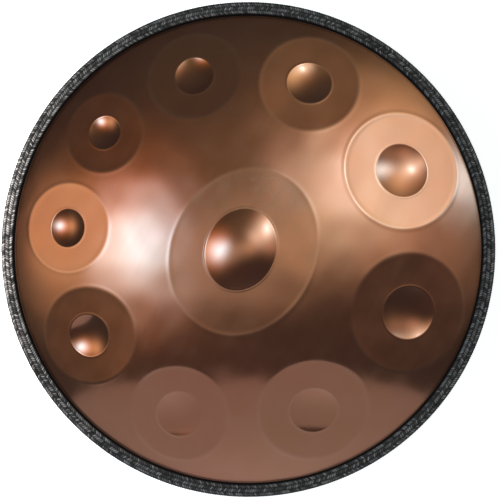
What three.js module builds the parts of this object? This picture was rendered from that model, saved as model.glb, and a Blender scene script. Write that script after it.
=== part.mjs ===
// Handpan: a steel drum of two domed shells bonded flange to flange, with a braided trim.
// Millimetres, +Z up. The origin is the middle of the flat ring that the drum rests on.
//
// The top shell carries the ding, a dome in an oval tone field, inside a circle of nine
// tone fields that each have a dished dimple. The bottom shell has a round sound port,
// whose neck turns up into the drum. A rubber channel closes the joined flanges, and the
// braid is folded over the channel.
import * as THREE from "three";
import { ConvexHull } from "three/addons/math/ConvexHull.js";

// Driving dimensions.
const RIM_RADIUS = 280;
const DOME_RADIUS = 264.3;
const DOME_RISE = 115;
const SHEET = 1.2;
const FLANGE_BEND = 1.5;
const BOND = 0.6;
const BOND_WIDTH = 10;
const GAP = 0.3;
const RUBBER = 1.5;
const RUBBER_COVER = 14.5;
const BRAID = 2;
const BRAID_COVER = 13.8;
const BRAID_EDGE = 4.5;
const PORT_RADIUS = 50;
const PORT_BEND = 7;
const NECK_LENGTH = 32;
const LAND_WIDTH = 7;

// Share of the dome's bulge that is hammered out inside a tone field, and the width of the
// soft step at a field's border as a share of the field.
const FIELD_FLATNESS = 0.95;
const DING_FLATNESS = 0.3;
const BORDER = 0.1;

// The ding and its tone field. Half-axes run along the angle, then across it.
const DING = { at: [0, 0], angle: 67, half: [44.5, 37.5], rise: 11 };
const DING_FIELD = { at: [2.5, -2.5], angle: 66, half: [92.5, 77] };

// The ring of notes, anticlockwise from +X, with the depth of each dimple. Half-axes run
// outwards, then across.
const NOTES = [
  { angle: 26.5, radius: 194, field: [62, 64.5], dimple: [28, 29.5], depth: 7.5 },
  { angle: 68.5, radius: 196.5, field: [54.5, 55], dimple: [23, 24], depth: 6.6 },
  { angle: 106, radius: 199.5, field: [49.5, 51.5], dimple: [21.5, 21.5], depth: 6.7 },
  { angle: 140, radius: 201.5, field: [45.5, 45], dimple: [18.5, 18.5], depth: 6.4 },
  { angle: 173, radius: 196.5, field: [49, 49], dimple: [20.5, 21], depth: 6.7 },
  { angle: 209, radius: 196, field: [55.5, 53.5], dimple: [23.5, 23.5], depth: 7.3 },
  { angle: 248.5, radius: 195, field: [55, 54.5], dimple: [26, 24.5], depth: 5.2 },
  { angle: 293.5, radius: 192.5, field: [56.5, 61], dimple: [25, 26], depth: 5.1 },
  { angle: 339, radius: 193.5, field: [62.5, 66.5], dimple: [28, 29], depth: 7.4 },
];

// Fineness of the faceted surfaces.
const SIDES = 72;
const LAND_STEP = 22;
const FIELD_SIDES = 32;
const DIMPLE_SIDES = 20;

// Where a shell's outer face lies, measured up from the middle plane of the rim.
const SPHERE = (DOME_RADIUS ** 2 + DOME_RISE ** 2) / (2 * DOME_RISE);
const FLANGE_FACE = BOND / 2 + GAP + SHEET;
const SPHERE_Z = FLANGE_FACE + DOME_RISE - SPHERE;
const BEND_Z = FLANGE_FACE + FLANGE_BEND;
const BEND_AT = Math.sqrt((SPHERE + FLANGE_BEND) ** 2 - (BEND_Z - SPHERE_Z) ** 2);
const DOME_EDGE = (BEND_AT * SPHERE) / (SPHERE + FLANGE_BEND);

// The trim, from the outside in.
const CHANNEL_RADIUS = RIM_RADIUS - BRAID - GAP;
const SLOT_RADIUS = CHANNEL_RADIUS - RUBBER;
const FLANGE_RADIUS = SLOT_RADIUS - GAP;
const SLOT_HALF = FLANGE_FACE + GAP;
const CHANNEL_HALF = SLOT_HALF + RUBBER;
const BRAID_HALF = CHANNEL_HALF + GAP + BRAID;

// The flat ring round the port, which the drum rests on.
const LAND_INNER = PORT_RADIUS + PORT_BEND;
const LAND_OUTER = LAND_INNER + LAND_WIDTH;
const RIM_Z = sphereHeight(LAND_OUTER);

function sphereHeight(r) {
  return SPHERE_Z + Math.sqrt(SPHERE ** 2 - r ** 2);
}

// Height of a plain shell's outer face: the dome, the bend at its foot and the flange.
function shellHeight(r) {
  if (r < DOME_EDGE) {
    return sphereHeight(r);
  }
  if (r < BEND_AT) {
    return BEND_Z - Math.sqrt(FLANGE_BEND ** 2 - (BEND_AT - r) ** 2);
  }
  return FLANGE_FACE;
}

// An ellipse in plan. level is 0 at its centre and 1 on it, and grows as the square.
function ellipse(x, y, degrees, [a, b]) {
  const turn = THREE.MathUtils.degToRad(degrees);
  const cos = Math.cos(turn);
  const sin = Math.sin(turn);
  return {
    level(px, py) {
      const along = (px - x) * cos + (py - y) * sin;
      const across = (py - y) * cos - (px - x) * sin;
      return (along / a) ** 2 + (across / b) ** 2;
    },
    ring(scale, count) {
      return Array.from({ length: count }, (_, i) => {
        const t = (2 * Math.PI * i) / count;
        const along = scale * a * Math.cos(t);
        const across = scale * b * Math.sin(t);
        return [x + along * cos - across * sin, y + along * sin + across * cos];
      });
    },
  };
}

// How far a field's centre lies below the dome, once that share of its bulge is gone.
function fieldDepth(x, y, [a, b], flatness) {
  const level = 1 - (x ** 2 + y ** 2) / SPHERE ** 2;
  return (flatness * a * b) / (2 * SPHERE * level);
}

// The field and the dimple, or the ding, of each note.
function makeNotes() {
  const ding = {
    field: ellipse(...DING_FIELD.at, DING_FIELD.angle, DING_FIELD.half),
    fieldDepth: fieldDepth(...DING_FIELD.at, DING_FIELD.half, DING_FLATNESS),
    centre: ellipse(...DING.at, DING.angle, DING.half),
    centreDepth: -DING.rise,
  };
  const ring = NOTES.map((note) => {
    const turn = THREE.MathUtils.degToRad(note.angle);
    const x = note.radius * Math.cos(turn);
    const y = note.radius * Math.sin(turn);
    return {
      field: ellipse(x, y, note.angle, note.field),
      fieldDepth: fieldDepth(x, y, note.field, FIELD_FLATNESS),
      centre: ellipse(x, y, note.angle, note.dimple),
      centreDepth: note.depth,
    };
  });
  return [ding, ...ring];
}

// The larger of value and 0, with a soft turn within BORDER of 0.
function softStep(value) {
  if (value <= -BORDER) {
    return 0;
  }
  return value >= BORDER ? value : (value + BORDER) ** 2 / (4 * BORDER);
}

// Height of the top shell's outer face above the rim plane, notes included.
function topHeight(notes, x, y) {
  let height = shellHeight(Math.hypot(x, y));
  for (const note of notes) {
    height -= note.fieldDepth * softStep(1 - note.field.level(x, y));
    height -= note.centreDepth * Math.max(0, 1 - note.centre.level(x, y));
  }
  return height;
}

// The sheet's thickness measured straight down, which grows with the slope of its face.
function topThickness(notes, x, y) {
  const step = 0.5;
  const dx = topHeight(notes, x + step, y) - topHeight(notes, x - step, y);
  const dy = topHeight(notes, x, y + step) - topHeight(notes, x, y - step);
  return SHEET * Math.hypot(1, dx / (2 * step), dy / (2 * step));
}

function circle(radius, count) {
  return ellipse(0, 0, 0, [radius, radius]).ring(1, count);
}

// Points in plan for the top shell: the flange and its bend, the notes, the dome between.
function planPoints(notes) {
  const rims = [FLANGE_RADIUS, BEND_AT, (BEND_AT + DOME_EDGE) / 2, DOME_EDGE];
  const points = rims.flatMap((radius) => circle(radius, SIDES));
  // Border points keep over half a chord inside the dome's edge, so the rims stay whole.
  const clearOfRim = ([x, y]) => Math.hypot(x, y) < DOME_EDGE - 0.55 * LAND_STEP;
  for (const { field, centre } of notes) {
    points.push(
      ...field.ring(1 + BORDER / 2, FIELD_SIDES).filter(clearOfRim),
      ...field.ring(1 - BORDER / 2, FIELD_SIDES).filter(clearOfRim),
      ...centre.ring(1, DIMPLE_SIDES),
      ...centre.ring(0.7, DIMPLE_SIDES),
      ...centre.ring(0.35, DIMPLE_SIDES / 2),
      ...centre.ring(0, 1),
    );
  }
  for (let radius = DOME_EDGE - LAND_STEP; radius > LAND_STEP; radius -= LAND_STEP) {
    const count = Math.round((2 * Math.PI * radius) / LAND_STEP);
    const clearOfFields = ([x, y]) =>
      notes.every(({ field }) => field.level(x, y) > (1 + 2 * BORDER) ** 2);
    points.push(...circle(radius, count).filter(clearOfFields));
  }
  return points;
}

// Delaunay triangles of points in plan: the lower faces of the hull of the points raised
// onto a paraboloid. Corners run anticlockwise seen from above.
function triangulate(points) {
  const raised = points.map(([x, y]) => new THREE.Vector3(x, y, (x * x + y * y) / RIM_RADIUS));
  const indexOf = new Map(raised.map((point, i) => [point, i]));
  const hull = new ConvexHull().setFromPoints(raised);
  const lower = hull.faces.filter((face) => face.normal.z < 0);
  return lower.map((face) => {
    const { edge } = face;
    const corners = [edge.head(), edge.next.head(), edge.prev.head()];
    return corners.map((vertex) => indexOf.get(vertex.point)).reverse();
  });
}

// The top shell: one sheet, its outer and inner faces and the cut edge of its flange.
function topShell() {
  const notes = makeNotes();
  const points = planPoints(notes);
  const count = points.length;
  const outer = points.map(([x, y]) => [x, y, topHeight(notes, x, y)]);
  const inner = outer.map(([x, y, z]) => [x, y, z - topThickness(notes, x, y)]);
  const faces = triangulate(points).flatMap(([a, b, c]) => [
    [a, b, c],
    [a + count, c + count, b + count],
  ]);
  for (let i = 0; i < SIDES; i++) {
    const next = (i + 1) % SIDES;
    faces.push([i, i + count, next + count], [i, next + count, next]);
  }
  const geometry = new THREE.BufferGeometry();
  geometry.setAttribute("position", new THREE.Float32BufferAttribute([...outer, ...inner].flat(), 3));
  geometry.setIndex(faces.flat());
  geometry.computeVertexNormals();
  return geometry;
}

// A ring turned about +Z from a closed outline of [radius, height] points.
function turned(outline) {
  const profile = [...outline, outline[0]].map(([r, z]) => new THREE.Vector2(r, z));
  return new THREE.LatheGeometry(profile, SIDES).rotateX(Math.PI / 2);
}

// Points on an arc in the section, with angles in degrees from the radial direction.
function arc([r, z], radius, from, to, steps) {
  return Array.from({ length: steps + 1 }, (_, i) => {
    const angle = THREE.MathUtils.degToRad(from + ((to - from) * i) / steps);
    return [r + radius * Math.cos(angle), z + radius * Math.sin(angle)];
  });
}

// One face of the bottom shell, from the flange's edge to the top of the neck, at a depth
// of 0 for the outer face or SHEET for the inner one.
function bottomFace(depth) {
  const footAngle = THREE.MathUtils.radToDeg(Math.acos(DOME_EDGE / SPHERE));
  const landAngle = THREE.MathUtils.radToDeg(Math.acos(LAND_OUTER / SPHERE));
  const bend = arc([BEND_AT, -BEND_Z], FLANGE_BEND + depth, 90, 180 - footAngle, 3);
  const dome = arc([0, -SPHERE_Z], SPHERE - depth, -footAngle, -landAngle, 6);
  const land = [LAND_INNER, -RIM_Z + PORT_BEND];
  const turn = arc(land, PORT_BEND - depth, -90, -180, 3);
  return [
    [FLANGE_RADIUS, -FLANGE_FACE + depth],
    ...bend,
    ...dome.slice(1, -1),
    [LAND_OUTER, -RIM_Z + depth],
    ...turn,
    [PORT_RADIUS + depth, -RIM_Z + PORT_BEND + NECK_LENGTH],
  ];
}

function bottomShell() {
  return turned([...bottomFace(SHEET), ...bottomFace(0).reverse()]);
}

// The bond between the flanges, set in a little from their edge.
function flangeAdhesive() {
  const outer = FLANGE_RADIUS - GAP;
  const inner = outer - BOND_WIDTH;
  const half = BOND / 2;
  return turned([
    [inner, -half],
    [outer, -half],
    [outer, half],
    [inner, half],
  ]);
}

// The rubber channel, a U lying on its side with its mouth towards the axis.
function rimChannel() {
  const lip = RIM_RADIUS - RUBBER_COVER;
  return turned([
    [lip, -CHANNEL_HALF],
    [CHANNEL_RADIUS, -CHANNEL_HALF],
    [CHANNEL_RADIUS, CHANNEL_HALF],
    [lip, CHANNEL_HALF],
    [lip, SLOT_HALF],
    [SLOT_RADIUS, SLOT_HALF],
    [SLOT_RADIUS, -SLOT_HALF],
    [lip, -SLOT_HALF],
  ]);
}

// The braid, the same U with rounded outer edges.
function rimBraid() {
  const lip = RIM_RADIUS - BRAID_COVER;
  const wall = CHANNEL_RADIUS + GAP;
  const inside = CHANNEL_HALF + GAP;
  const edge = [RIM_RADIUS - BRAID_EDGE, BRAID_HALF - BRAID_EDGE];
  return turned([
    [lip, -BRAID_HALF],
    ...arc([edge[0], -edge[1]], BRAID_EDGE, -90, 0, 3),
    ...arc(edge, BRAID_EDGE, 0, 90, 3),
    [lip, BRAID_HALF],
    [lip, inside],
    [wall, inside],
    [wall, -inside],
    [lip, -inside],
  ]);
}

const copperSteel = new THREE.MeshStandardMaterial({ color: 0xb4764f, roughness: 0.3, metalness: 1 });
const rubber = new THREE.MeshStandardMaterial({ color: 0x101010, roughness: 0.7, metalness: 0 });
const cord = new THREE.MeshStandardMaterial({ color: 0x2a2c30, roughness: 0.8, metalness: 0 });
const resin = new THREE.MeshStandardMaterial({ color: 0x8c8676, roughness: 0.5, metalness: 0 });

const handpan = new THREE.Group();
handpan.position.z = RIM_Z;

function add(name, geometry, material) {
  const mesh = new THREE.Mesh(geometry, material);
  mesh.name = name;
  handpan.add(mesh);
}

add("top_shell", topShell(), copperSteel);
add("bottom_shell", bottomShell(), copperSteel);
add("flange_adhesive", flangeAdhesive(), resin);
add("rim_channel", rimChannel(), rubber);
add("rim_braid", rimBraid(), cord);

export default handpan;
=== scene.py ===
"""Handpan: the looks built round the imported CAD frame.

Lengths in the design part are millimetres, and every Blender object is in metres.
"""

import math

import bpy
import numpy as np
from mathutils import Matrix, Vector
from mathutils.geometry import delaunay_2d_cdt


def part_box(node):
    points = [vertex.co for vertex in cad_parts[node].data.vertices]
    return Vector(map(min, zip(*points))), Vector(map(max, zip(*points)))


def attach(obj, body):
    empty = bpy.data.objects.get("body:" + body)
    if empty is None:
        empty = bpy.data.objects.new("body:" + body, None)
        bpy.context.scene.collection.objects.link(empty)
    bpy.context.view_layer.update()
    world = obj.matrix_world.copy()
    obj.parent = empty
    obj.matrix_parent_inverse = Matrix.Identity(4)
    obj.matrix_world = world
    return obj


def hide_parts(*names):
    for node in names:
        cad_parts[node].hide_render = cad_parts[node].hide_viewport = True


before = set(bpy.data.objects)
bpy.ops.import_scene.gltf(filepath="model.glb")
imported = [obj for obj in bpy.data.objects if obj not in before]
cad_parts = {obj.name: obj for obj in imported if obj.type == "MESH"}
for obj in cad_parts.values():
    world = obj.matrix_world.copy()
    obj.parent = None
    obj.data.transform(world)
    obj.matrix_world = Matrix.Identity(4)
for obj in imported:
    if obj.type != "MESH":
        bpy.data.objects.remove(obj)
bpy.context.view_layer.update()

MM = 0.001

# ---------------------------------------------------------------- driving dimensions, mm

DOME_RADIUS = 264.3
DOME_RISE = 115.0
SHEET = 1.2
FLANGE_BEND = 1.5
GAP = 0.3
RUBBER = 1.5
RUBBER_COVER = 14.5
BRAID = 2.0
BRAID_COVER = 13.8
BRAID_EDGE = 4.5
PORT_RADIUS = 50.0
PORT_BEND = 7.0
NECK_LENGTH = 32.0
LAND_WIDTH = 7.0
FIELD_FLATNESS = 0.95
DING_FLATNESS = 0.3
BORDER = 0.1

# Half-axes run along the angle, then across it. ridge is the height of the fine ridge that
# the looks carry round a tone field.
DING = {"at": (0.0, 0.0), "angle": 67, "half": (44.5, 37.5), "rise": 11}
DING_FIELD = {"at": (2.5, -2.5), "angle": 66, "half": (92.5, 77), "ridge": 0.2}

# The ring of notes: angle from +X, distance from the middle, half-axes of the field and of
# the dimple, the depth of the dimple and the ridge.
NOTES = (
    (26.5, 194, (62, 64.5), (28, 29.5), 7.5, 0.42),
    (68.5, 196.5, (54.5, 55), (23, 24), 6.6, 0.12),
    (106, 199.5, (49.5, 51.5), (21.5, 21.5), 6.7, 0.06),
    (140, 201.5, (45.5, 45), (18.5, 18.5), 6.4, 0.1),
    (173, 196.5, (49, 49), (20.5, 21), 6.7, 0.2),
    (209, 196, (55.5, 53.5), (23.5, 23.5), 7.3, 0.12),
    (248.5, 195, (55, 54.5), (26, 24.5), 5.2, 0.06),
    (293.5, 192.5, (56.5, 61), (25, 26), 5.1, 0.06),
    (339, 193.5, (62.5, 66.5), (28, 29), 7.4, 0.1),
)

# Surface detail that only the looks carry. Each width is the distance over which it fades.
RIDGE_WIDTH = 2.6
LIP_HEIGHT = 0.16
LIP_WIDTH = 0.9
LIP_OUT = 1.0
WAVE_SLOPE = 0.008
WAVE_COUNT = 28
EDGE_FADE = 12
# Widths of the lighter band along field outlines and dimple lips, partly wear and partly a
# painted highlight.
FIELD_WEAR_AND_HIGHLIGHT = 2.5
LIP_WEAR_AND_HIGHLIGHT = 1.2
DUST_FADE = 4

# The camera's tilt in degrees, its distance in metres and its lens in millimetres.
CAMERA_TILT = 3
CAMERA_DISTANCE = 1.9
CAMERA_LENS = 120.9

# ---------------------------------------------------------------- places from the frame

low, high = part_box("rim_braid")
RIM_RADIUS = high.x / MM
RIM_Z = (low.z + high.z) / 2 / MM
BRAID_HALF = (high.z - low.z) / 2 / MM
low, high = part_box("top_shell")
FLANGE_RADIUS = high.x / MM
FLANGE_FACE = low.z / MM - RIM_Z + SHEET

SPHERE = (DOME_RADIUS**2 + DOME_RISE**2) / (2 * DOME_RISE)
SPHERE_Z = FLANGE_FACE + DOME_RISE - SPHERE
BEND_Z = FLANGE_FACE + FLANGE_BEND
BEND_AT = math.sqrt((SPHERE + FLANGE_BEND) ** 2 - (BEND_Z - SPHERE_Z) ** 2)
DOME_EDGE = BEND_AT * SPHERE / (SPHERE + FLANGE_BEND)
LAND_INNER = PORT_RADIUS + PORT_BEND
LAND_OUTER = LAND_INNER + LAND_WIDTH


# ---------------------------------------------------------------- the top shell's surface


class Ellipse:
    """An ellipse in plan. reach is 0 at its centre and 1 on it."""

    def __init__(self, x, y, degrees, half):
        self.x, self.y = x, y
        self.cos = math.cos(math.radians(degrees))
        self.sin = math.sin(math.radians(degrees))
        self.a, self.b = half
        self.mean = (self.a + self.b) / 2

    def reach(self, x, y):
        along = (x - self.x) * self.cos + (y - self.y) * self.sin
        across = (y - self.y) * self.cos - (x - self.x) * self.sin
        return np.hypot(along / self.a, across / self.b)

    def ring(self, offset, step, count=None):
        """Points about step apart on the ellipse grown by offset."""
        scale = 1 + offset / self.mean
        count = count or max(6, round(2 * math.pi * self.mean * scale / step))
        t = np.arange(count) * (2 * math.pi / count)
        along = scale * self.a * np.cos(t)
        across = scale * self.b * np.sin(t)
        x = self.x + along * self.cos - across * self.sin
        y = self.y + along * self.sin + across * self.cos
        return np.stack([x, y], 1)


def make_notes():
    """Each note as (field, field depth, centre, centre depth, ridge)."""
    ding = Ellipse(*DING["at"], DING["angle"], DING["half"])
    x, y = DING_FIELD["at"]
    angle, half, ridge = DING_FIELD["angle"], DING_FIELD["half"], DING_FIELD["ridge"]
    found = [(x, y, angle, half, DING_FLATNESS, ding, -DING["rise"], ridge)]
    for angle, radius, half, dimple, depth, ridge in NOTES:
        x = radius * math.cos(math.radians(angle))
        y = radius * math.sin(math.radians(angle))
        centre = Ellipse(x, y, angle, dimple)
        found.append((x, y, angle, half, FIELD_FLATNESS, centre, depth, ridge))
    made = []
    for x, y, angle, half, flatness, centre, depth, ridge in found:
        level = 1 - (x**2 + y**2) / SPHERE**2
        field_depth = flatness * half[0] * half[1] / (2 * SPHERE * level)
        made.append((Ellipse(x, y, angle, half), field_depth, centre, depth, ridge))
    return made


notes = make_notes()
rng = np.random.default_rng(7)
WAVES = [
    (rng.uniform(0, 2 * math.pi), rng.uniform(28, 75), rng.uniform(0, 2 * math.pi))
    for _ in range(WAVE_COUNT)
]


def waviness(x, y):
    """The slight unevenness that hammering leaves."""
    total = np.zeros_like(x)
    for direction, length, phase in WAVES:
        k = 2 * math.pi / length
        run = x * math.cos(direction) + y * math.sin(direction)
        total += WAVE_SLOPE / k * np.sin(k * run + phase)
    return total / math.sqrt(len(WAVES) / 8)


def shell_height(r):
    """Height of a plain shell's outer face above the rim plane."""
    dome = SPHERE_Z + np.sqrt(np.maximum(SPHERE**2 - r**2, 0))
    bend = BEND_Z - np.sqrt(np.maximum(FLANGE_BEND**2 - (BEND_AT - r) ** 2, 0))
    return np.where(r < DOME_EDGE, dome, np.where(r < BEND_AT, bend, FLANGE_FACE))


def soft_step(value):
    rounded = (value + BORDER) ** 2 / (4 * BORDER)
    return np.where(value <= -BORDER, 0, np.where(value >= BORDER, value, rounded))


def top_height(x, y):
    """Height of the top shell's outer face above the rim plane."""
    r = np.hypot(x, y)
    height = shell_height(r)
    fade = np.clip((DOME_EDGE - r) / EDGE_FADE, 0, 1)
    for field, field_depth, centre, depth, ridge in notes:
        reach = field.reach(x, y)
        height -= field_depth * soft_step(1 - reach**2)
        height += ridge * fade * np.exp(-(((reach - 1) * field.mean / RIDGE_WIDTH) ** 2))
        reach = centre.reach(x, y)
        height -= depth * np.maximum(0, 1 - reach**2)
        beyond = (reach - 1) * centre.mean - LIP_OUT
        height += LIP_HEIGHT * np.exp(-((beyond / LIP_WIDTH) ** 2))
    return height + fade * (waviness(x, y) - 0.1)


def slopes(height, x, y, step=0.25):
    dx = (height(x + step, y) - height(x - step, y)) / (2 * step)
    dy = (height(x, y + step) - height(x, y - step)) / (2 * step)
    return dx, dy


def plan_points():
    """Points in plan, close together where the surface turns sharply."""
    whole = Ellipse(0, 0, 0, (1, 1))
    rims = [FLANGE_RADIUS, 272, 268.5, 266]
    rims += list(np.linspace(BEND_AT, DOME_EDGE, 5)) + [DOME_EDGE - 1.5]
    points = [whole.ring(radius - 1, 0, 360) for radius in rims]
    border = (-10, -7, -5, -3.6, -2.6, -1.7, -0.8, 0, 0.8, 1.7, 2.6, 3.6, 5, 7)
    lip = (-2.4, -1.6, -1, -0.5, 0, 0.5, 1, 1.5, 2, 2.6, 3.4)
    for field, _, centre, _, _ in notes:
        for offset in border:
            ring = field.ring(offset, 3.2)
            points.append(ring[np.hypot(*ring.T) < DOME_EDGE - 3])
        for offset in lip:
            points.append(centre.ring(offset, 2.4))
        for offset in np.arange(-5, 2 - centre.mean, -3):
            points.append(centre.ring(offset, 3))
        points.append(np.array([[centre.x, centre.y]]))
        span = field.mean - centre.mean
        for run in np.arange(6, span - 12, 4.5):
            share = run / span
            count = round(2 * math.pi * (centre.mean + run) / 4.5)
            inner, outer = centre.ring(0, 0, count), field.ring(0, 0, count)
            points.append(inner + share * (outer - inner))
    for radius in np.arange(DOME_EDGE - 5, 60, -4.5):
        ring = whole.ring(radius - 1, 4.5)
        clear = np.ones(len(ring), bool)
        for field, *_ in notes:
            clear &= field.reach(*ring.T) > 1 + 10 / field.mean
        points.append(ring[clear])
    return np.concatenate(points)


def mesh_object(name, points, faces):
    mesh = bpy.data.meshes.new(name)
    mesh.from_pydata(np.asarray(points) * MM, [], faces)
    mesh.polygons.foreach_set("use_smooth", np.ones(len(mesh.polygons), bool))
    mesh.update()
    piece = bpy.data.objects.new(name, mesh)
    bpy.context.scene.collection.objects.link(piece)
    return piece


def point_values(piece, name, values):
    attribute = piece.data.attributes.new(name, "FLOAT", "POINT")
    attribute.data.foreach_set("value", np.asarray(values, np.float32))


def build_top_shell():
    found = delaunay_2d_cdt([Vector(p) for p in plan_points()], [], [], 0, 1e-4)
    plan = np.array([tuple(v) for v in found[0]])
    triangles = np.array(found[2])
    x, y = plan.T
    z = top_height(x, y)
    dx, dy = slopes(top_height, x, y)
    thick = SHEET * np.sqrt(1 + dx**2 + dy**2)
    count = len(plan)
    outer = np.stack([x, y, z + RIM_Z], 1)
    inner = np.stack([x, y, z - thick + RIM_Z], 1)
    radius = np.hypot(x, y)
    edge = np.nonzero(radius > FLANGE_RADIUS - 0.01)[0]
    edge = edge[np.argsort(np.arctan2(y[edge], x[edge]))]
    a, b, c = triangles.T
    area = (x[b] - x[a]) * (y[c] - y[a]) - (x[c] - x[a]) * (y[b] - y[a])
    triangles = np.where((area < 0)[:, None], triangles[:, ::-1], triangles)
    following = np.roll(edge, -1)
    wall = np.stack([edge, edge + count, following + count, following], 1)
    faces = triangles.tolist() + (triangles[:, ::-1] + count).tolist() + wall.tolist()
    piece = mesh_object("top_shell_sheet", np.concatenate([outer, inner]), faces)
    up = np.stack([-dx, -dy, np.ones(count)], 1)
    up /= np.linalg.norm(up, axis=1)[:, None]
    piece.data.normals_split_custom_set_from_vertices(np.concatenate([up, -up]).tolist())
    mark_top_shell(piece, x, y)
    return piece


def mark_top_shell(piece, x, y):
    """Where the outer face is worn along field outlines and dimple lips, with a painted
    highlight there too, dished, dusty, and near-black at its foot. The inner face has no marks.
    """
    count = len(x)
    # The lighter band along field outlines and dimple lips is partly wear and partly a painted
    # highlight.
    wear_and_highlight, dished = np.zeros(count), np.zeros(count)
    for field, _, centre, _, _ in notes:
        beyond = (field.reach(x, y) - 1) * field.mean
        wear_and_highlight = np.maximum(wear_and_highlight, np.exp(-((beyond / FIELD_WEAR_AND_HIGHLIGHT) ** 2)))
        beyond = (centre.reach(x, y) - 1) * centre.mean - LIP_OUT
        wear_and_highlight = np.maximum(wear_and_highlight, np.exp(-((beyond / LIP_WEAR_AND_HIGHLIGHT) ** 2)))
        dished = np.maximum(dished, np.clip(-beyond, 0, 1))
    field = notes[0][0]
    inside = np.clip((1 - field.reach(x, y)) * field.mean / DUST_FADE, 0, 1)
    dusty = inside * (0.3 + 0.7 * np.clip((y - 15) / 45, 0, 1))
    # Near-black colour at the dome's foot, in the corner under the channel's lip.
    dark_foot = np.clip((np.hypot(x, y) - DOME_EDGE + 0.3) / 0.6, 0, 1)
    marks = {"wear_and_highlight": wear_and_highlight, "dished": dished, "dusty": dusty, "dark_foot": dark_foot}
    for name, values in marks.items():
        point_values(piece, name, np.concatenate([values, np.zeros(count)]))


# ---------------------------------------------------------------- turned pieces


def arc(r, z, radius, start, end, steps):
    angle = np.radians(np.linspace(start, end, steps + 1))
    return [(r + radius * math.cos(t), z + radius * math.sin(t)) for t in angle]


def turned(name, outline, sides=360):
    """A ring about +Z from a closed outline of (radius, height), anticlockwise."""
    profile = np.array(outline)
    turn = np.arange(sides) * (2 * math.pi / sides)
    x = np.cos(turn)[:, None] * profile[:, 0]
    y = np.sin(turn)[:, None] * profile[:, 0]
    z = np.ones(sides)[:, None] * profile[:, 1] + RIM_Z
    points = np.stack([x, y, z], 2).reshape(-1, 3)
    return mesh_object(name, points, ring_faces(sides, len(profile)))


def ring_faces(sides, rows):
    """Quads of a closed ring of closed outlines."""
    i, j = np.meshgrid(np.arange(sides), np.arange(rows), indexing="ij")
    ahead, above = (i + 1) % sides, (j + 1) % rows
    quads = [i * rows + j, ahead * rows + j, ahead * rows + above, i * rows + above]
    return np.stack(quads, 2).reshape(-1, 4).tolist()


def bottom_face(depth):
    """A face of the bottom shell from the flange to the neck's top, below the rim plane."""
    foot = math.degrees(math.acos(DOME_EDGE / SPHERE))
    land = math.degrees(math.acos(LAND_OUTER / SPHERE))
    return [
        (FLANGE_RADIUS, -FLANGE_FACE + depth),
        (BEND_AT + 2, -FLANGE_FACE + depth),
        *arc(BEND_AT, -BEND_Z, FLANGE_BEND + depth, 90, 180 - foot, 8),
        *arc(0, -SPHERE_Z, SPHERE - depth, -foot, -land, 64)[1:-1],
        (LAND_OUTER, -RIM_Z + depth),
        (LAND_INNER + 3, -RIM_Z + depth),
        *arc(LAND_INNER, -RIM_Z + PORT_BEND, PORT_BEND - depth, -90, -180, 10),
        (PORT_RADIUS + depth, -RIM_Z + PORT_BEND + NECK_LENGTH / 2),
        (PORT_RADIUS + depth, -RIM_Z + PORT_BEND + NECK_LENGTH),
    ]


def build_bottom_shell():
    return turned("bottom_shell_sheet", bottom_face(0) + bottom_face(SHEET)[::-1], 240)


def build_rim_channel():
    wall = RIM_RADIUS - BRAID - GAP
    slot = FLANGE_FACE + GAP
    half = slot + RUBBER
    middle = slot + RUBBER / 2
    lip = RIM_RADIUS - RUBBER_COVER + RUBBER / 2
    outline = [
        *arc(lip, -middle, RUBBER / 2, 90, 270, 8),
        *arc(wall - 1, -half + 1, 1, -90, 0, 4),
        *arc(wall - 1, half - 1, 1, 0, 90, 4),
        *arc(lip, middle, RUBBER / 2, 90, 270, 8),
        (wall - RUBBER, slot),
        (wall - RUBBER, -slot),
    ]
    piece = turned("rim_channel_rubber", outline)
    piece.visible_glossy = False
    return piece


# ---------------------------------------------------------------- the braid

# The strands run in slanted rows, turned back and forth from row to row.
STRAND_PITCH = 2.7
STRAND_SIDES = 4
STRAND_ROWS = 8
ROW_STEPS = 4
STRAND_DEPTH = 1.0
STRAND_SLANT = 0.9


def resample(path, count):
    """count + 1 points evenly along an open path."""
    path = np.array(path)
    run = np.concatenate([[0], np.cumsum(np.hypot(*np.diff(path, axis=0).T))])
    at = np.linspace(0, run[-1], count + 1)
    return np.stack([np.interp(at, run, path[:, 0]), np.interp(at, run, path[:, 1])], 1)


def braid_section(steps):
    """The braid's outer face and its inner corners, as (radius, height)."""
    lip = RIM_RADIUS - BRAID_COVER
    edge = BRAID_EDGE
    inside = BRAID_HALF - BRAID + 0.05
    wall = RIM_RADIUS - BRAID - 0.05
    outer = [
        (lip, -BRAID_HALF + 0.9),
        *arc(lip + 0.5, -BRAID_HALF + 0.5, 0.5, 180, 270, 4),
        *arc(RIM_RADIUS - edge, -BRAID_HALF + edge, edge, -90, 0, 8),
        *arc(RIM_RADIUS - edge, BRAID_HALF - edge, edge, 0, 90, 8),
        *arc(lip + 0.5, BRAID_HALF - 0.5, 0.5, 90, 180, 4),
        (lip, BRAID_HALF - 0.9),
    ]
    corners = [(lip + 0.6, inside), (wall, inside), (wall, -inside), (lip + 0.6, -inside)]
    return resample(outer, steps), np.array(corners)


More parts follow.
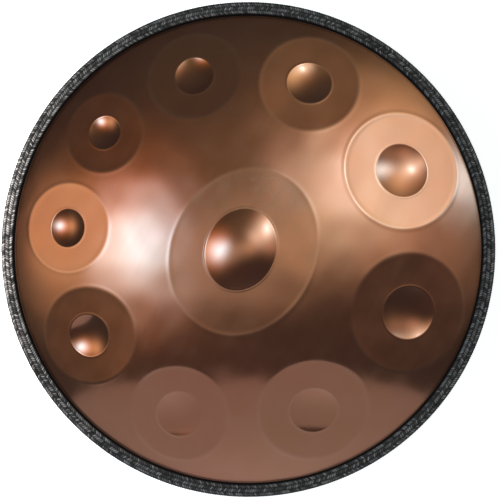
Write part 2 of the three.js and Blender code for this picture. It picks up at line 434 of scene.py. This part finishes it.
def build_rim_braid():
    steps = STRAND_ROWS * ROW_STEPS
    outer, corners = braid_section(steps)
    tangent = np.gradient(outer, axis=0)
    tangent /= np.linalg.norm(tangent, axis=1)[:, None]
    inward = np.stack([-tangent[:, 1], tangent[:, 0]], 1)
    strands = round(2 * math.pi * RIM_RADIUS / STRAND_PITCH)
    columns = strands * STRAND_SIDES
    phase = np.arange(columns) / STRAND_SIDES
    across = np.arange(steps + 1) / ROW_STEPS
    row = np.minimum(across.astype(int), STRAND_ROWS - 1)
    share = across - row
    slant = np.where(row % 2 == 0, share, 1 - share) * STRAND_SLANT
    crown = np.sqrt(np.clip(1 - (2 * (phase % 1) - 1) ** 2, 0, 1))
    taper = 0.2 + 0.8 * np.sin(math.pi * share) ** 0.7
    tip = np.minimum(across, STRAND_ROWS - across) < 0.5
    taper = np.where(tip, 0.9, taper)
    proud = crown[:, None] * taper
    sunk = STRAND_DEPTH * (1 - proud)[..., None]
    face = outer + inward * sunk
    section = np.concatenate([face, np.broadcast_to(corners, (columns, 4, 2))], 1)
    turn = phase[:, None] + np.concatenate([slant, [0, 0, 0, 0]])
    turn *= 2 * math.pi / strands
    r, z = section[..., 0], section[..., 1] + RIM_Z
    points = np.stack([r * np.cos(turn), r * np.sin(turn), z], 2).reshape(-1, 3)
    piece = mesh_object("rim_braid_cord", points, ring_faces(columns, steps + 5))
    piece.visible_glossy = False
    # The braid's colour mask: a painted highlight on each strand's crown and painted shade, near
    # black, in the gaps between strands, with each strand's brightness varied at random.
    shade = rng.uniform(0.25, 1, (strands, STRAND_ROWS)) ** 2
    shade = shade[np.arange(columns) // STRAND_SIDES][:, row]
    crown = np.clip((proud - 0.45) / 0.45, 0, 1) * shade
    point_values(piece, "crown", np.concatenate([crown, np.zeros((columns, 4))], 1).ravel())
    return piece


# ---------------------------------------------------------------- materials


def new_material(name):
    """A material, its node tree, its shader and the object's own coordinates."""
    material = bpy.data.materials.new(name)
    material.use_nodes = True
    tree = material.node_tree
    place = tree.nodes.new("ShaderNodeTexCoord").outputs["Object"]
    return material, tree, tree.nodes["Principled BSDF"], place


def noise(tree, coordinate, scale, detail=4.0, stretch=None, turn=0.0):
    node = tree.nodes.new("ShaderNodeTexNoise")
    node.inputs["Scale"].default_value = scale
    node.inputs["Detail"].default_value = detail
    if stretch:
        mapping = tree.nodes.new("ShaderNodeMapping")
        mapping.vector_type = "TEXTURE"
        mapping.inputs["Scale"].default_value = stretch
        mapping.inputs["Rotation"].default_value = (0, 0, math.radians(turn))
        tree.links.new(coordinate, mapping.inputs["Vector"])
        coordinate = mapping.outputs["Vector"]
    tree.links.new(coordinate, node.inputs["Vector"])
    return node.outputs["Fac"]


def ramp(tree, value, low, high, to_low, to_high):
    node = tree.nodes.new("ShaderNodeMapRange")
    node.inputs["From Min"].default_value = low
    node.inputs["From Max"].default_value = high
    node.inputs["To Min"].default_value = to_low
    node.inputs["To Max"].default_value = to_high
    tree.links.new(value, node.inputs["Value"])
    return node.outputs["Result"]


def mix_colour(tree, factor, first, second):
    node = tree.nodes.new("ShaderNodeMix")
    node.data_type = "RGBA"
    tree.links.new(factor, node.inputs["Factor"])
    for socket, value in ((node.inputs["A"], first), (node.inputs["B"], second)):
        if isinstance(value, tuple):
            socket.default_value = (*value, 1)
        else:
            tree.links.new(value, socket)
    return node.outputs["Result"]


def maths(tree, kind, first, second=0.0):
    node = tree.nodes.new("ShaderNodeMath")
    node.operation = kind
    for socket, value in zip(node.inputs, (first, second)):
        if isinstance(value, (int, float)):
            socket.default_value = value
        else:
            tree.links.new(value, socket)
    return node.outputs["Value"]


def bump(tree, height, strength, distance, normal=None):
    node = tree.nodes.new("ShaderNodeBump")
    node.inputs["Strength"].default_value = strength
    node.inputs["Distance"].default_value = distance
    tree.links.new(height, node.inputs["Height"])
    if normal:
        tree.links.new(normal, node.inputs["Normal"])
    return node.outputs["Normal"]


def attribute(tree, name):
    node = tree.nodes.new("ShaderNodeAttribute")
    node.attribute_name = name
    return node.outputs["Fac"]


def copper_steel(name, with_notes):
    """Nitrided steel with a copper tone, slightly mottled and brushed."""
    material, tree, shader, place = new_material(name)
    broad = noise(tree, place, 6, 3)
    patches = noise(tree, place, 34, 5)
    grain = noise(tree, place, 700, 3)
    streaks = noise(tree, place, 40, 4, (6, 0.35, 1), 62)
    reddish, golden, pale = (0.73, 0.285, 0.163), (0.7, 0.3, 0.165), (0.76, 0.35, 0.22)
    colour = mix_colour(tree, ramp(tree, broad, 0.38, 0.62, 0, 1), reddish, golden)
    colour = mix_colour(tree, ramp(tree, patches, 0.4, 0.75, 0, 0.3), colour, pale)
    rough = maths(
        tree,
        "ADD",
        ramp(tree, patches, 0.3, 0.7, 0.17, 0.23),
        ramp(tree, streaks, 0.35, 0.65, -0.015, 0.015),
    )
    if with_notes:
        # Lighter copper along field outlines and dimple lips: partly wear, partly a painted
        # highlight, broken up by noise.
        patchiness = ramp(tree, noise(tree, place, 14, 3), 0.35, 0.65, 0.02, 0.4)
        wear_and_highlight = maths(tree, "MULTIPLY", attribute(tree, "wear_and_highlight"), patchiness)
        colour = mix_colour(tree, wear_and_highlight, colour, (0.86, 0.47, 0.31))
        dusty = attribute(tree, "dusty")
        speckle = ramp(tree, noise(tree, place, 90, 6), 0.35, 0.7, 0.2, 1)
        dull = maths(tree, "MULTIPLY", dusty, speckle)
        colour = mix_colour(tree, maths(tree, "MULTIPLY", dull, 0.4), colour, (0.46, 0.27, 0.18))
        rough = maths(tree, "ADD", rough, maths(tree, "MULTIPLY", dull, 0.1))
        # Near-black colour and rougher steel at the dome's foot, under the channel's lip.
        dark_foot = attribute(tree, "dark_foot")
        colour = mix_colour(tree, dark_foot, colour, (0.012, 0.01, 0.009))
        rough = maths(tree, "ADD", rough, maths(tree, "MULTIPLY", dark_foot, 0.4))
        polish = maths(tree, "MULTIPLY", attribute(tree, "dished"), -0.05)
        rough = maths(tree, "ADD", rough, polish)
    tree.links.new(colour, shader.inputs["Base Color"])
    tree.links.new(rough, shader.inputs["Roughness"])
    shader.inputs["Metallic"].default_value = 1.0
    normal = bump(tree, grain, 0.06, 0.0002)
    normal = bump(tree, streaks, 0.05, 0.0006, normal)
    tree.links.new(normal, shader.inputs["Normal"])
    return material


def rubber():
    material, tree, shader, place = new_material("channel_rubber")
    spots = noise(tree, place, 400, 3)
    colour = mix_colour(tree, spots, (0.004, 0.003, 0.003), (0.012, 0.01, 0.01))
    tree.links.new(colour, shader.inputs["Base Color"])
    tree.links.new(ramp(tree, spots, 0.3, 0.7, 0.65, 0.8), shader.inputs["Roughness"])
    tree.links.new(bump(tree, spots, 0.2, 0.0002), shader.inputs["Normal"])
    shader.inputs["Specular IOR Level"].default_value = 0.3
    return material


def braid_cord():
    material, tree, shader, place = new_material("braid_cord")
    fibre = noise(tree, place, 1500, 2)
    crown = attribute(tree, "crown")
    # Near black in the gaps between strands is painted shade; the light grey on the crowns is a
    # painted highlight.
    colour = mix_colour(tree, crown, (0.001, 0.001, 0.001), (0.36, 0.31, 0.285))
    tree.links.new(colour, shader.inputs["Base Color"])
    tree.links.new(ramp(tree, fibre, 0.3, 0.7, 0.35, 0.5), shader.inputs["Roughness"])
    tree.links.new(bump(tree, fibre, 0.3, 0.0002), shader.inputs["Normal"])
    shader.inputs["Specular IOR Level"].default_value = 0.4
    shader.inputs["Specular Tint"].default_value = (1.0, 0.8, 0.62, 1)
    return material


def epoxy():
    material, tree, shader, place = new_material("bond")
    blotch = noise(tree, place, 120, 4)
    colour = mix_colour(tree, blotch, (0.36, 0.32, 0.25), (0.48, 0.44, 0.35))
    tree.links.new(colour, shader.inputs["Base Color"])
    tree.links.new(ramp(tree, blotch, 0.3, 0.7, 0.45, 0.6), shader.inputs["Roughness"])
    return material


# ---------------------------------------------------------------- studio

# Soft lights far off, as the drum sees them: zenith angle and azimuth of the middle, half
# height and half width in degrees, then the radiance of red, green and blue.
GLOWS = (
    (5, 18, 60, 15, (0.38, 0.43, 0.38)),
    (18, 355, 10, 12, (0.14, 0.12, 0.09)),
    (44, 177, 15, 12.5, (0.3, 3.0, 6.2)),
    (48, 175, 20, 19, (1.4, 0.7, 0.05)),
    (74, 178, 18, 15, (0.42, 0.42, 0.28)),
    (86, 178, 10, 16, (0.42, 0.38, 0.3)),
    (29, 41, 9, 15, (0.38, 0.6, 0.75)),
    (46, 35, 13, 15, (0.65, 1.1, 1.45)),
    (53, 34, 5, 6, (1.0, 2.6, 4.4)),
    (61, 31, 15, 13, (0.62, 1.05, 1.3)),
    (55, 45, 28, 22, (0.5, 0.46, 0.32)),
    (83, 36, 18, 18, (0.62, 0.68, 0.5)),
    (94, 19, 14, 7, (1.1, 2.4, 3.7)),
    (56, 0, 20, 13, (0.36, 0.32, 0.27)),
    (86, 0, 12, 14, (0.2, 0.2, 0.17)),
    (35, 105, 35, 40, (0.09, 0.1, 0.07)),
    (85, 100, 20, 40, (0.02, 0.025, 0.03)),
    (45, 270, 25, 60, (0.025, 0.02, 0.02)),
    (98, 270, 24, 32, (0.14, 0.19, 0.25)),
)
ROOM = (0.038, 0.042, 0.048)
BELOW = (0.4, 0.39, 0.38)
BACKDROP = (0.95, 0.95, 0.95)


def direction(zenith, azimuth):
    z, a = math.radians(zenith), math.radians(azimuth)
    return Vector((math.sin(z) * math.cos(a), math.sin(z) * math.sin(a), math.cos(z)))


def glow(tree, place, zenith, azimuth, tall, wide, colour):
    """A soft-edged light in the studio's sky."""
    away = direction(zenith, azimuth)
    down = direction(zenith + 90, azimuth)
    turn = Matrix((down, away.cross(down), away)).transposed()
    mapping = tree.nodes.new("ShaderNodeMapping")
    mapping.vector_type = "TEXTURE"
    mapping.inputs["Location"].default_value = away
    mapping.inputs["Rotation"].default_value = turn.to_euler()
    size = (math.sin(math.radians(tall)), math.sin(math.radians(wide)), 0.8)
    mapping.inputs["Scale"].default_value = size
    tree.links.new(place, mapping.inputs["Vector"])
    square = tree.nodes.new("ShaderNodeVectorMath")
    square.operation = "DOT_PRODUCT"
    tree.links.new(mapping.outputs["Vector"], square.inputs[0])
    tree.links.new(mapping.outputs["Vector"], square.inputs[1])
    fall = maths(tree, "EXPONENT", maths(tree, "MULTIPLY", square.outputs["Value"], -1.0))
    tint = tree.nodes.new("ShaderNodeVectorMath")
    tint.operation = "SCALE"
    tint.inputs[0].default_value = colour
    tree.links.new(fall, tint.inputs["Scale"])
    return tint.outputs["Vector"]


def build_world():
    world = bpy.data.worlds.new("studio")
    world.use_nodes = True
    tree = world.node_tree
    place = tree.nodes.new("ShaderNodeTexCoord").outputs["Generated"]
    split = tree.nodes.new("ShaderNodeSeparateXYZ")
    tree.links.new(place, split.inputs["Vector"])
    down = ramp(tree, split.outputs["Z"], -0.6, -0.95, 0, 1)
    total = mix_colour(tree, down, ROOM, BELOW)
    for zenith, azimuth, tall, wide, colour in GLOWS:
        add = tree.nodes.new("ShaderNodeVectorMath")
        tree.links.new(total, add.inputs[0])
        tree.links.new(glow(tree, place, zenith, azimuth, tall, wide, colour), add.inputs[1])
        total = add.outputs["Vector"]
    lit = tree.nodes["Background"]
    tree.links.new(total, lit.inputs["Color"])
    seen = tree.nodes.new("ShaderNodeBackground")
    seen.inputs["Color"].default_value = (*BACKDROP, 1)
    pick = tree.nodes.new("ShaderNodeMixShader")
    camera_ray = tree.nodes.new("ShaderNodeLightPath").outputs["Is Camera Ray"]
    tree.links.new(camera_ray, pick.inputs["Fac"])
    tree.links.new(lit.outputs["Background"], pick.inputs[1])
    tree.links.new(seen.outputs["Background"], pick.inputs[2])
    tree.links.new(pick.outputs["Shader"], tree.nodes["World Output"].inputs["Surface"])
    bpy.context.scene.world = world


def panel(name, centre, wide, tall, away, radiance, colour, shape, mirrored=True):
    """An area light facing -away, in metres, that the steel may mirror or not."""
    light = bpy.data.lights.new(name, "AREA")
    light.shape = shape
    light.size, light.size_y = wide, tall
    area = wide * tall * (math.pi / 4 if shape == "ELLIPSE" else 1)
    light.energy = radiance * math.pi * area
    light.color = colour
    lamp = bpy.data.objects.new(name, light)
    lamp.location = centre
    lamp.rotation_euler = away.to_track_quat("Z", "Y").to_euler()
    lamp.visible_camera = False
    lamp.visible_glossy = mirrored
    bpy.context.scene.collection.objects.link(lamp)


def build_floor():
    side = 6000
    corners = [(-side, -side, 0), (side, -side, 0), (side, side, 0), (-side, side, 0)]
    piece = mesh_object("floor", corners, [(0, 1, 2, 3)])
    material, tree, shader, place = new_material("pale_floor")
    colour = mix_colour(tree, noise(tree, place, 3, 3), (0.88, 0.86, 0.83), (0.9, 0.88, 0.85))
    tree.links.new(colour, shader.inputs["Base Color"])
    shader.inputs["Emission Color"].default_value = (0.9, 0.9, 0.895, 1)
    shader.inputs["Emission Strength"].default_value = 0.8
    shader.inputs["Roughness"].default_value = 0.9
    piece.data.materials.append(material)
    piece.visible_glossy = False


def build_camera():
    away = direction(CAMERA_TILT, 0)
    centre = Vector((0.004, -0.0006, RIM_Z * MM))
    data = bpy.data.cameras.new("camera")
    data.lens = CAMERA_LENS
    camera = bpy.data.objects.new("camera", data)
    side = Vector((0, 1, 0)).cross(away).normalized()
    turn = Matrix((side, away.cross(side), away)).transposed()
    camera.matrix_world = Matrix.Translation(centre + away * CAMERA_DISTANCE) @ turn.to_4x4()
    bpy.context.scene.collection.objects.link(camera)
    bpy.context.scene.camera = camera


# ---------------------------------------------------------------- assembly


def place_piece(piece, node, material):
    piece.data.materials.append(material)
    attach(piece, "root")
    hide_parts(node)


place_piece(build_top_shell(), "top_shell", copper_steel("shell_steel", True))
place_piece(
    build_bottom_shell(), "bottom_shell", copper_steel("shell_steel_plain", False)
)
place_piece(build_rim_channel(), "rim_channel", rubber())
place_piece(build_rim_braid(), "rim_braid", braid_cord())
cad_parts["flange_adhesive"].data.materials.clear()
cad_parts["flange_adhesive"].data.materials.append(epoxy())
build_floor()
build_world()
panel(
    "front_card", Vector((0, -0.35, 0.06)), 0.84, 0.63, Vector((0, -1, 0)),
    0.23, (0.9, 1.0, 1.15), "ELLIPSE",
)
panel(
    "side_card", Vector((-0.42, 0.03, 0.2)), 0.2, 0.1, Vector((-1, 0.2, 0.6)),
    38.0, (0.94, 0.98, 1.0), "RECTANGLE", mirrored=False,
)
build_camera()
bpy.context.scene.view_settings.view_transform = "Standard"
